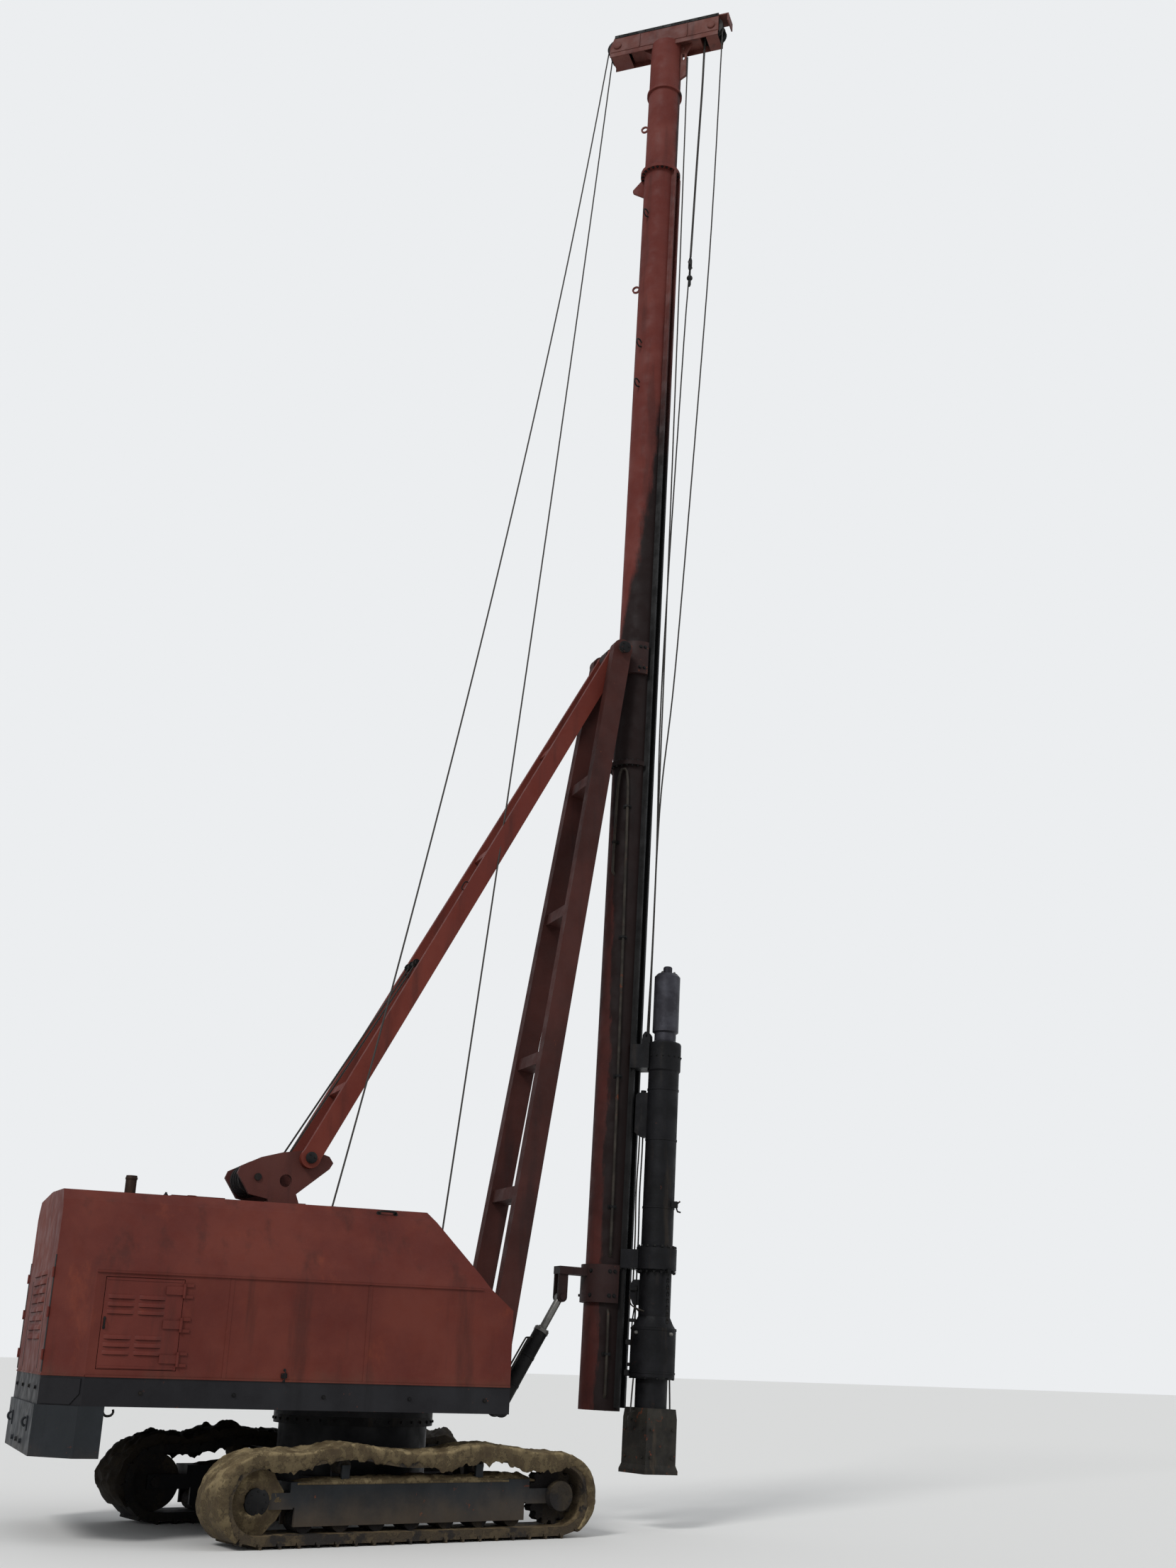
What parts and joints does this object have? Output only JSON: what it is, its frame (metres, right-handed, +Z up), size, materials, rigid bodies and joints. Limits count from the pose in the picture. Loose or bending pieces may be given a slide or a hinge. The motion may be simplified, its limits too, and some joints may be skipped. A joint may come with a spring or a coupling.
{
  "type": "pile driver rig",
  "caption": "Tracked pile driver: a revolving house carries a boom and backstay that hold a swivelling tubular leader, with an open-top diesel hammer sliding on its rails.",
  "frame": {"origin": "middle of the overall box from back to front and side to side, on the ground, which is 0.44 m in front of the slew axis", "axes": "+X from the house towards the leader, +Y to the machine's left, +Z up"},
  "size_m": [8.0182, 4.0056, 22.3817],
  "materials": {
    "house_paint": "weathered brick red paint with dust",
    "door_paint": "faded brick red paint",
    "leader_paint": "brick red paint, soot and grease on the hammer's side",
    "frame_paint": "dark blue-grey paint with dust",
    "track_steel": "worn steel under dried clay",
    "black_steel": "black, oily and sooty",
    "bare_steel": "worn pin steel",
    "cab_interior": "grey paint",
    "engine_paint": "green-grey engine paint with oil",
    "seat_cover": "black seat cover",
    "wire_rope": "greased wire rope",
    "window_glass": "dusty clear glass"
  },
  "bodies": {
    "undercarriage": {"track_right": "track_steel", "track_left": "track_steel", "track_frame_right": "frame_paint", "track_frame_left": "frame_paint", "track_wheels": "track_steel", "carbody": "frame_paint", "slew_ring": "black_steel"},
    "upperstructure": {"deck": "frame_paint", "counterweight": "frame_paint", "house_right": "house_paint", "house_left": "house_paint", "house_rear": "house_paint", "house_front": "house_paint", "house_roof": "house_paint", "cab_partition": "cab_interior", "cab_glass": "window_glass", "operator_seat": "seat_cover", "control_stand": "cab_interior", "engine_block": "engine_paint", "winch_block": "engine_paint", "exhaust_pipe": "black_steel", "gantry": "leader_paint", "gantry_sheaves": "black_steel", "boom": "leader_paint", "backstay": "leader_paint", "head_pin": "bare_steel", "strut_bracket": "frame_paint"},
    "cab_sliding_door": {"cab_door": "house_paint", "door_glass": "window_glass"},
    "engine_side_door": {"engine_door": "door_paint"},
    "leader_carrier": {"head_collar": "leader_paint", "foot_collar": "leader_paint"},
    "leader": {"leader_tube": "leader_paint", "guide_rails": "black_steel", "leader_head": "leader_paint"},
    "front_sheave_pair": {"front_sheaves": "black_steel"},
    "rear_sheave_pair": {"rear_sheaves": "black_steel"},
    "strut_lower": {"strut_barrel": "black_steel"},
    "strut_upper": {"strut_rod": "bare_steel"},
    "hammer": {"hammer_cylinder": "black_steel", "hammer_tank": "black_steel", "hammer_guides": "black_steel", "anvil_block": "black_steel", "pile_helmet": "black_steel"},
    "hammer_ram": {"ram": "black_steel"}
  },
  "joints": [
    {"name": "house_slew", "type": "hinge", "parent": "undercarriage", "child": "upperstructure", "pos_m": [-0.44408, 0, 1], "axis": [0, 0, 1], "continuous": true},
    {"name": "cab_door_slide", "type": "slide", "parent": "upperstructure", "child": "cab_sliding_door", "axis": [-1, 0, 0], "range_m": [0, 0.78]},
    {"name": "engine_door_hinge", "type": "hinge", "parent": "upperstructure", "child": "engine_side_door", "pos_m": [-2.74408, -1.566, 2], "axis": [0, 0, 1], "range_deg": [0, 110]},
    {"name": "leader_tilt", "type": "hinge", "parent": "upperstructure", "child": "leader_carrier", "pos_m": [2.43779, 0, 10.99161], "axis": [0, 1, 0], "range_deg": [-2.4, 1.6]},
    {"name": "leader_swivel", "type": "hinge", "parent": "leader_carrier", "child": "leader", "pos_m": [2.82764, 0, 10.98072], "axis": [0.0279, 0, 0.9996], "range_deg": [-2, 88]},
    {"name": "front_sheave_spin", "type": "hinge", "parent": "leader", "child": "front_sheave_pair", "pos_m": [3.71327, -0.53537, 22.12533], "axis": [0.6817, 0.7314, -0.019], "continuous": true},
    {"name": "rear_sheave_spin", "type": "hinge", "parent": "leader", "child": "rear_sheave_pair", "pos_m": [2.55453, 0.5456, 22.1577], "axis": [0.6817, 0.7314, -0.019], "continuous": true},
    {"name": "strut_foot_hinge", "type": "hinge", "parent": "upperstructure", "child": "strut_lower", "pos_m": [1.27592, 0, 1.26], "axis": [0, 1, 0], "range_deg": [-7.96, 11.84]},
    {"name": "strut_rod_slide", "type": "slide", "parent": "strut_lower", "child": "strut_upper", "axis": [0.4985, 0, 0.8669], "range_m": [-0.1214, 0.1805]},
    {"name": "hammer_hoist", "type": "slide", "parent": "leader", "child": "hammer", "axis": [0.0279, 0, 0.9996], "range_m": [0, 12.4]},
    {"name": "ram_stroke", "type": "slide", "parent": "hammer", "child": "hammer_ram", "axis": [0.0279, 0, 0.9996], "range_m": [0, 2.4]}
  ],
  "couplings": [
    {"joint": "strut_foot_hinge", "follows": "leader_tilt", "ratio": -4.8518},
    {"joint": "strut_rod_slide", "follows": "leader_tilt", "m_per_rad": -4.2384}
  ]
}
